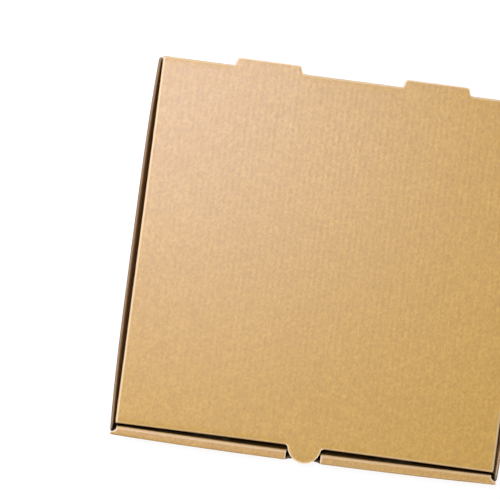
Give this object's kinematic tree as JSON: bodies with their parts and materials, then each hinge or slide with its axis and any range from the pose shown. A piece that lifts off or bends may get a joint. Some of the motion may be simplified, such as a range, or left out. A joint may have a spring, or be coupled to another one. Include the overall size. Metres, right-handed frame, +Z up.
{
  "type": "pizza box",
  "caption": "Shallow square corrugated board pizza box folded from one blank, with a rolled front wall, thumb tab and a lid hinged on the back crease.",
  "frame": {"origin": "middle of the tray's base, on the surface that the box rests on", "axes": "+Z up out of the tray, +X to the right seen from the front, -Y towards the thumb tab at the front"},
  "size_m": [0.4212, 0.4194, 0.0468],
  "materials": {
    "tray_board": "matte kraft liner",
    "lid_board": "matte kraft liner"
  },
  "bodies": {
    "tray": {"tray": "tray_board"},
    "lid": {"lid": "lid_board"}
  },
  "joints": [
    {"name": "lid_hinge", "type": "hinge", "parent": "tray", "child": "lid", "pos_m": [0, 0.2035, 0.044], "axis": [-1, 0, 0], "range_deg": [0, 180]}
  ]
}
